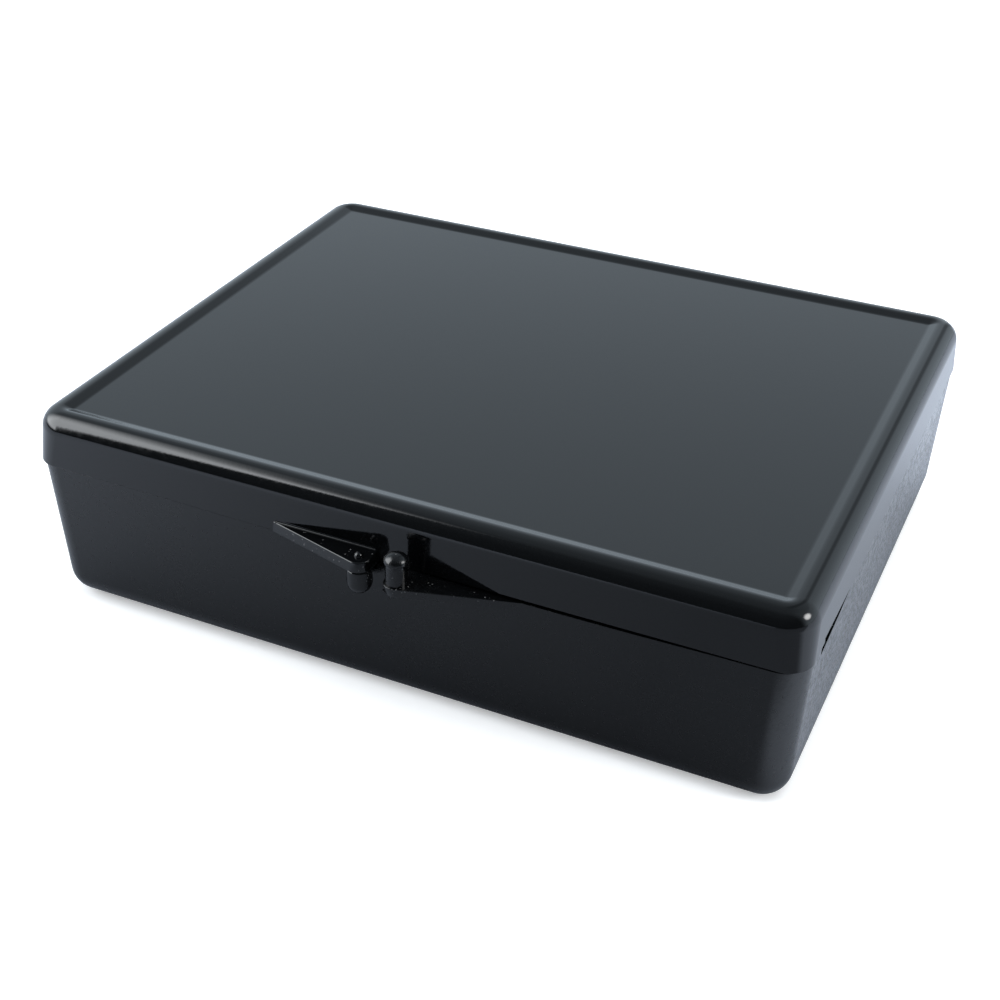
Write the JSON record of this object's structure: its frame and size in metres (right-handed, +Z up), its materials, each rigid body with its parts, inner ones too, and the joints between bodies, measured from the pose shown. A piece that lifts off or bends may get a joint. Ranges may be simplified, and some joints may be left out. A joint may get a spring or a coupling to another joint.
{
  "type": "hinged card deck case",
  "caption": "Rectangular moulded case for playing card decks, with a hinged lid, a recessed top panel and a two-wing front catch.",
  "frame": {"origin": "centre of the resting face under the tray", "axes": "+X to the right along the front, +Y back towards the hinge, +Z up"},
  "size_m": [0.14, 0.1222, 0.0382],
  "materials": {
    "black_plastic": "glossy injection-moulded black with a fine moulding grain",
    "pin_steel": "plain drawn steel wire"
  },
  "bodies": {
    "tray_body": {"base_tray": "black_plastic", "hinge_pin_left": "pin_steel", "hinge_pin_right": "pin_steel"},
    "lid_body": {"lid": "black_plastic"}
  },
  "joints": [
    {"name": "lid_hinge", "type": "hinge", "parent": "tray_body", "child": "lid_body", "pos_m": [0, 0.0581, 0.0282], "axis": [-1, 0, 0], "range_deg": [0, 110]}
  ]
}
